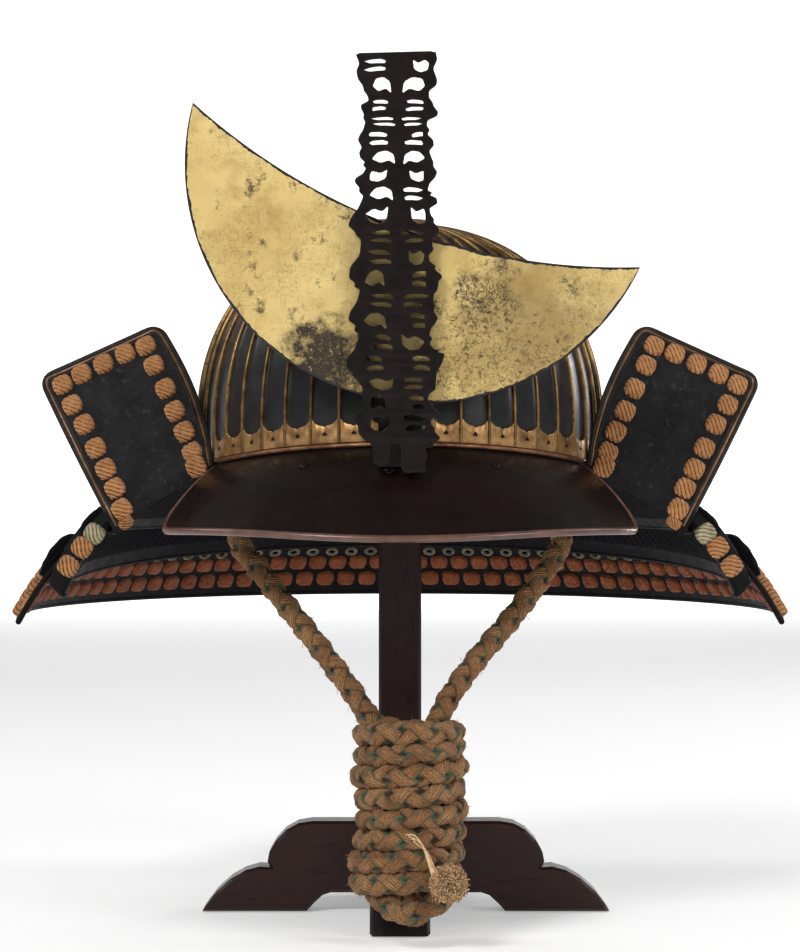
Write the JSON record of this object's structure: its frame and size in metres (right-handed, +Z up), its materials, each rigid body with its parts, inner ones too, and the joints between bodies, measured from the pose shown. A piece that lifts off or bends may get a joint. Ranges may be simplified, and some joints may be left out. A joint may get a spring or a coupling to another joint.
{
  "type": "samurai helmet on a wooden stand",
  "caption": "Ribbed samurai helmet with crescent and openwork crests, turned-back ears, laced neck guard and braided chin cord, on a plain wooden stand with crossed feet",
  "frame": {"origin": "middle of the floor plan, on the floor the stand rests on", "axes": "+Z up, front of the helmet towards -Y, +X to the right as seen from the front"},
  "size_m": [0.4144, 0.3848, 0.4469],
  "materials": {
    "black_iron": "dark grey-black patinated iron plates with gilt-bronze ribs",
    "gilt": "worn gilt copper",
    "black_lacquer": "worn black lacquer over leather and iron",
    "brown_lacquer": "glossy dark brown lacquer",
    "gold_leaf": "worn gold leaf with a black edge",
    "crest_lacquer": "glossy black-brown lacquer",
    "dark_iron": "plain dark iron",
    "cord": "round braid of tan cord with green flecks",
    "cord_end": "frayed cut end",
    "rosewood": "dark rosewood, satin",
    "dark_wood": "near-black stained wood, satin"
  },
  "bodies": {
    "root": {"bowl": "black_iron", "crown_ring": "gilt", "gilt_base_band": "gilt", "base_bead": "gilt", "hip_band": "black_lacquer", "visor": "brown_lacquer", "visor_rivet_left": "brown_lacquer", "visor_rivet_centre": "brown_lacquer", "visor_rivet_right": "brown_lacquer", "lame_1_with_ears": "black_lacquer", "lame_2": "black_lacquer", "lame_3": "black_lacquer", "crescent_crest": "gold_leaf", "openwork_crest": "crest_lacquer", "crest_spacer_upper": "dark_iron", "crest_spacer_lower": "dark_iron", "crest_holder": "dark_iron", "chin_cord_left": "cord", "chin_cord_right": "cord", "chin_cord_back": "cord", "cord_bundle": "cord", "cord_brush_end": "cord_end", "cord_ring_left": "dark_iron", "cord_ring_right": "dark_iron", "stand_post": "rosewood", "stand_rest": "rosewood", "stand_side_foot": "rosewood", "stand_front_foot": "dark_wood"}
  },
  "joints": []
}
